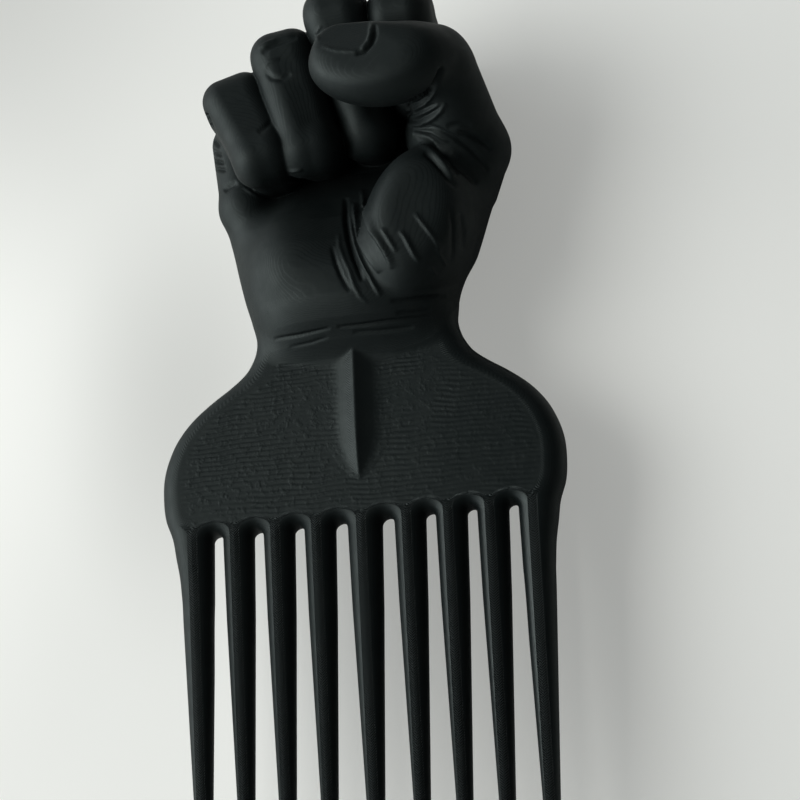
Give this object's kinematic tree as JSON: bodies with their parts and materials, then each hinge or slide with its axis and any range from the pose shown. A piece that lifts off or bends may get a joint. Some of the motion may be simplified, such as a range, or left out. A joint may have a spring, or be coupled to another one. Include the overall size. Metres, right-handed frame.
{
  "type": "afro pick",
  "caption": "Hair pick with long tapered teeth, a wide rounded blade with a short rib, and a clenched right fist as its handle.",
  "frame": {"origin": "middle of the blade's flat back face, on the middle tooth's axis", "axes": "+X across the comb towards the thumb's side, +Y from the teeth towards the knuckles, +Z out of the palm side"},
  "size_m": [0.0828, 0.1976, 0.0472],
  "materials": {
    "print": "matte black printed plastic with fine layer lines"
  },
  "bodies": {
    "root": {"blade": "print", "rib": "print", "wrist": "print", "palm": "print", "thenar": "print", "thumb": "print", "index_finger": "print", "middle_finger": "print", "ring_finger": "print", "little_finger": "print", "tooth_1": "print", "tooth_2": "print", "tooth_3": "print", "tooth_4": "print", "tooth_5": "print", "tooth_6": "print", "tooth_7": "print", "tooth_8": "print", "tooth_9": "print"}
  },
  "joints": []
}
